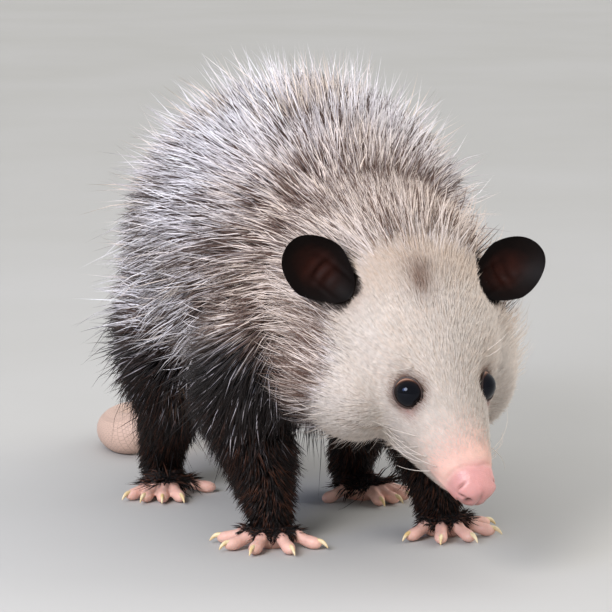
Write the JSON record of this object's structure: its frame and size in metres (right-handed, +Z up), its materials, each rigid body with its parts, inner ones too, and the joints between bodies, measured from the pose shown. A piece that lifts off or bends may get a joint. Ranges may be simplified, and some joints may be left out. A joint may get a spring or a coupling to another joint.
{
  "type": "opossum",
  "caption": "Life-size still model of an opossum standing with its head lowered, with a shaggy coat, bare cupped ears and a bare tail laid on the floor.",
  "frame": {"origin": "middle of the whole model's box on the floor", "axes": "+X the way the animal faces, +Y its left side, +Z up"},
  "size_m": [0.4578, 0.2124, 0.2405],
  "materials": {
    "body_fur": "long coarse fur, dark below with pale tips",
    "face_fur": "short cream fur",
    "ear_skin": "thin bare black skin",
    "pink_skin": "soft bare pink skin with horn claws",
    "tail_skin": "scaly bare skin",
    "eye": "wet gloss"
  },
  "bodies": {
    "root": {"torso": "body_fur", "head": "face_fur", "jaw": "face_fur", "nose": "pink_skin", "neck": "body_fur", "eye_right": "eye", "eye_left": "eye", "ear_right": "ear_skin", "ear_left": "ear_skin", "fore_right_upper": "body_fur", "fore_right_lower": "body_fur", "fore_right_foot": "pink_skin", "fore_left_upper": "body_fur", "fore_left_lower": "body_fur", "fore_left_foot": "pink_skin", "hind_right_upper": "body_fur", "hind_right_lower": "body_fur", "hind_right_foot": "pink_skin", "hind_left_upper": "body_fur", "hind_left_lower": "body_fur", "hind_left_foot": "pink_skin", "tail_root": "tail_skin", "tail_drop": "tail_skin", "tail_bend": "tail_skin", "tail_run": "tail_skin", "tail_tip": "tail_skin"}
  },
  "joints": []
}
